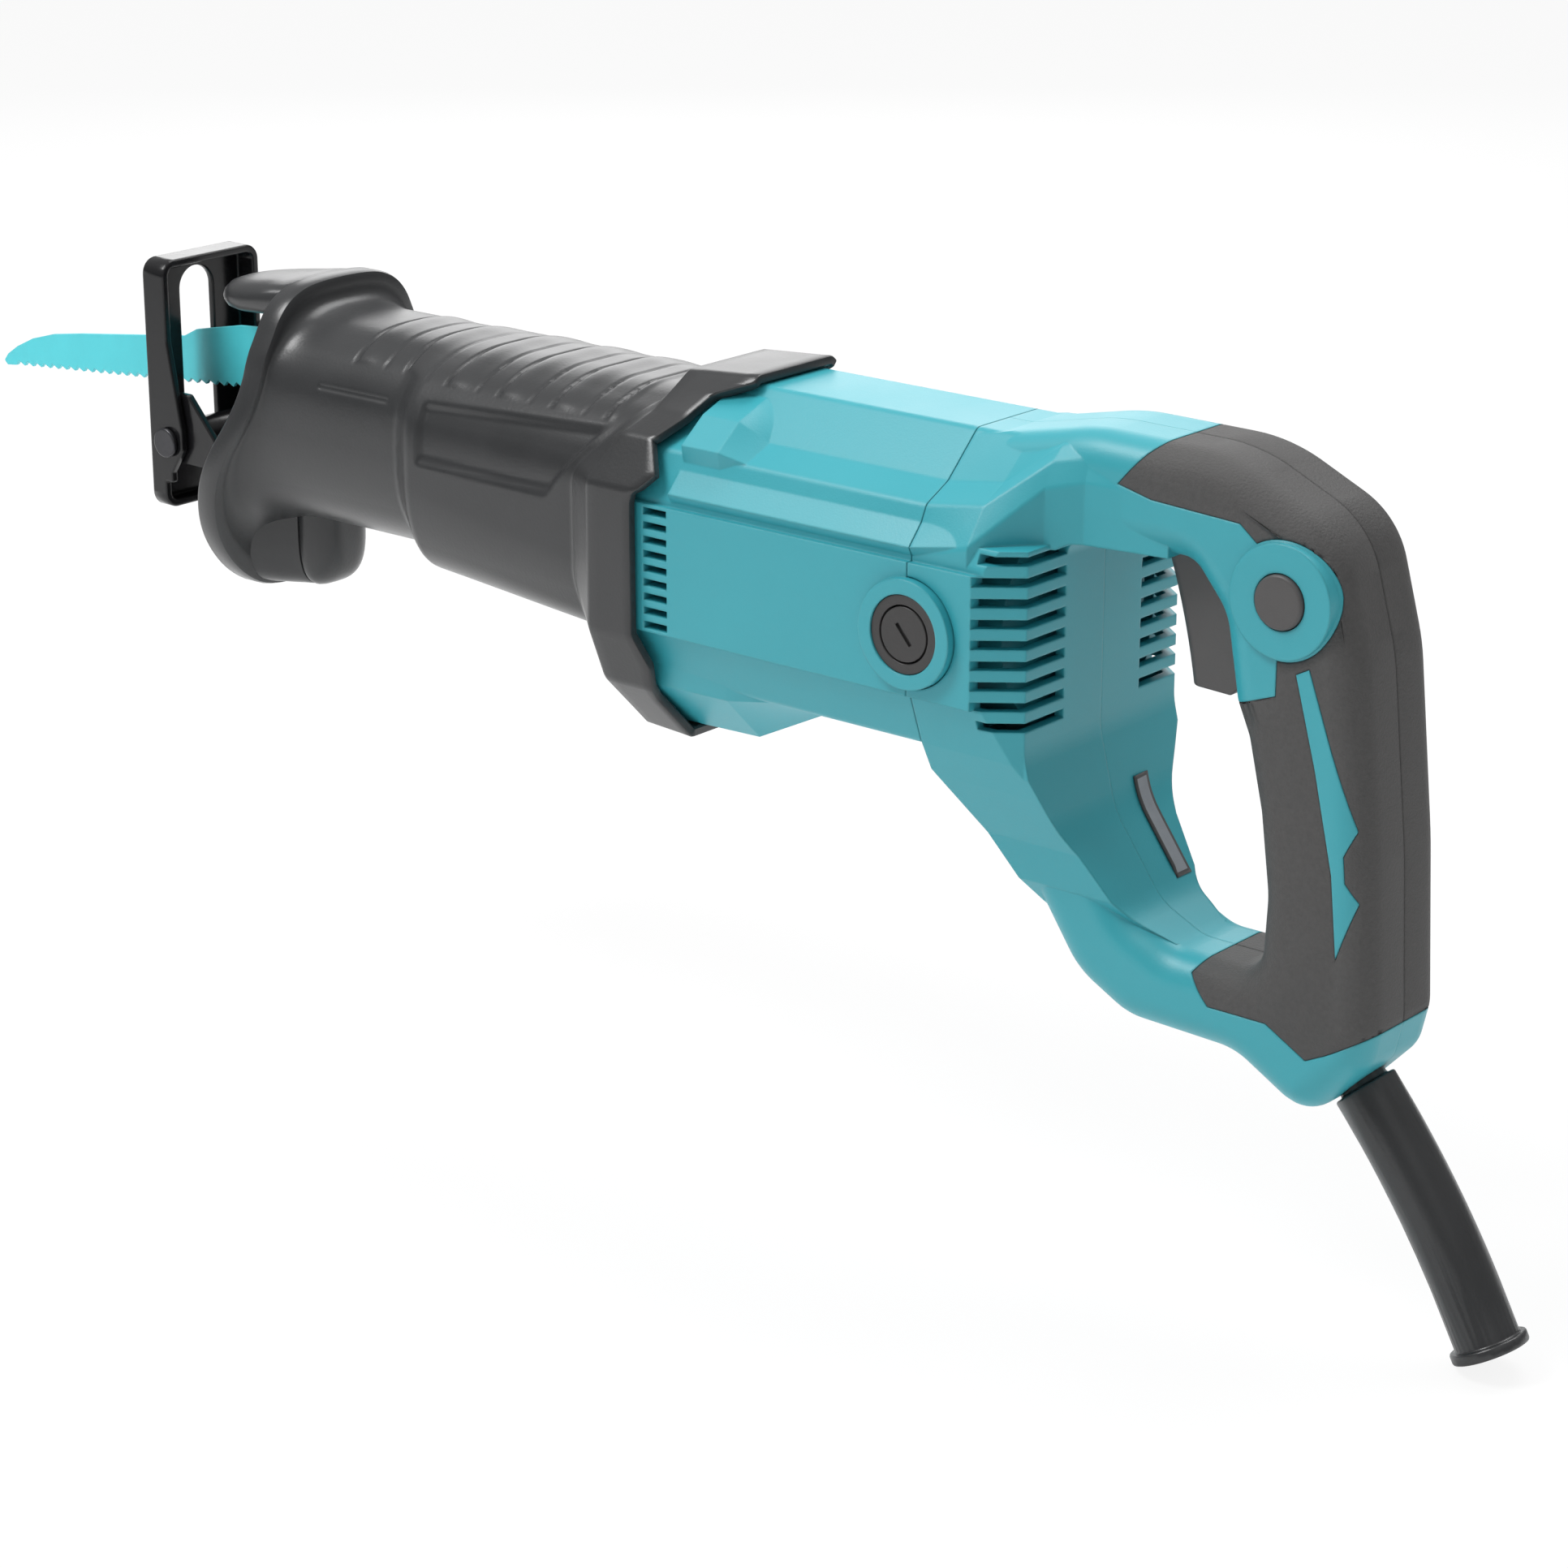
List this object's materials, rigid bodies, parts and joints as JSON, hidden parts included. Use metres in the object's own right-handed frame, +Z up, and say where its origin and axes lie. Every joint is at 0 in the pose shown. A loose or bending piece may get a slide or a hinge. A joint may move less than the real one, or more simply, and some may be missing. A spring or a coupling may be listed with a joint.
{
  "type": "reciprocating saw",
  "caption": "Corded reciprocating saw: crank-driven blade through a pivoting shoe, rubber front boot, motor housing and D handle with trigger and cord guard.",
  "frame": {"origin": "on the blade's stroke axis where it crosses the shoe's front face", "axes": "+X back along the stroke axis to the handle, +Y to the operator's right, +Z up"},
  "size_m": [0.5834, 0.0932, 0.233],
  "materials": {
    "teal_plastic": "moulded, fine satin",
    "boot_rubber": "moulded, satin",
    "grip_rubber": "matte, finely textured",
    "dark_plastic": "moulded, matte",
    "black_paint": "gloss paint",
    "blade_paint": "satin paint",
    "alloy": "die cast",
    "steel": "machined",
    "lamination": "stacked sheet",
    "copper": "enamelled winding",
    "bronze": "sintered",
    "carbon": "pressed carbon",
    "label": "printed foil, left bare"
  },
  "bodies": {
    "tool_body": {"front_boot": "boot_rubber", "gear_housing": "alloy", "gear_housing_cover": "alloy", "gear_cover_screws": "steel", "slider_front_bush": "bronze", "slider_rear_bush": "bronze", "slider_dust_seal": "boot_rubber", "crank_lower_bearing": "steel", "crank_upper_bearing": "steel", "motor_front_bearing": "steel", "motor_rear_bearing": "steel", "field_core": "lamination", "field_coils": "copper", "fan_baffle": "dark_plastic", "motor_housing": "teal_plastic", "housing_screws": "steel", "brush_holders": "copper", "carbon_brushes": "carbon", "brush_springs": "steel", "brush_caps": "dark_plastic", "handle_left": "teal_plastic", "handle_right": "teal_plastic", "grip_left": "grip_rubber", "grip_right": "grip_rubber", "handle_screws": "steel", "trigger_pin": "steel", "switch_body": "dark_plastic", "cord_clamp": "dark_plastic", "cord_clamp_screws": "steel", "noise_filter": "dark_plastic", "cord_guard": "boot_rubber", "rating_plate": "label"},
    "armature": {"armature_shaft": "steel", "armature_core": "lamination", "armature_winding": "copper", "commutator": "copper", "cooling_fan": "dark_plastic", "drive_pinion": "steel"},
    "crank": {"crank_gear": "steel", "crank_spindle": "steel"},
    "slider": {"slider_shaft": "steel", "clamp_pin": "steel", "saw_blade": "blade_paint"},
    "roller": {"crank_roller": "steel"},
    "clamp": {"clamp_sleeve": "steel"},
    "shoe_slide": {"shoe_arm": "black_paint", "shoe_pivot_pin": "steel"},
    "shoe": {"shoe_plate": "black_paint"},
    "shoe_lock": {"shoe_lock_button": "dark_plastic"},
    "trigger": {"trigger": "dark_plastic"},
    "lock": {"lock_button": "dark_plastic"}
  },
  "joints": [
    {"name": "armature_spin", "type": "hinge", "parent": "tool_body", "child": "armature", "pos_m": [0.26, 0, -0.022], "axis": [1, 0, 0], "continuous": true},
    {"name": "crank_spin", "type": "hinge", "parent": "tool_body", "child": "crank", "pos_m": [0.155, 0, -0.017], "axis": [0, 0, 1], "continuous": true},
    {"name": "blade_stroke", "type": "slide", "parent": "tool_body", "child": "slider", "axis": [1, 0, 0], "range_m": [-0.015, 0.015]},
    {"name": "block_slide", "type": "slide", "parent": "slider", "child": "roller", "axis": [0, 1, 0], "range_m": [-0.03, 0]},
    {"name": "clamp_turn", "type": "hinge", "parent": "slider", "child": "clamp", "pos_m": [0.052, 0, 0], "axis": [1, 0, 0], "range_deg": [0, 40], "stiffness_Nm_per_rad": 0.2, "springref_deg": -20.05},
    {"name": "shoe_shift", "type": "slide", "parent": "tool_body", "child": "shoe_slide", "axis": [-1, 0, 0], "range_m": [0, 0.03]},
    {"name": "shoe_tilt", "type": "hinge", "parent": "shoe_slide", "child": "shoe", "pos_m": [0.0082, 0, -0.026], "axis": [0, 1, 0], "range_deg": [-25, 12]},
    {"name": "shoe_lock_push", "type": "slide", "parent": "tool_body", "child": "shoe_lock", "axis": [0, 1, 0], "range_m": [-0.004, 0.004]},
    {"name": "trigger_pull", "type": "hinge", "parent": "tool_body", "child": "trigger", "pos_m": [0.398, 0, 0.012], "axis": [0, 1, 0], "range_deg": [-6, 0], "stiffness_Nm_per_rad": 1.5, "springref_deg": 5.73},
    {"name": "lock_push", "type": "slide", "parent": "tool_body", "child": "lock", "axis": [0, 1, 0], "range_m": [0, 0.003], "stiffness_N_per_m": 400, "springref_m": -0.003}
  ],
  "couplings": [
    {"joint": "crank_spin", "follows": "armature_spin", "ratio": -0.2}
  ]
}
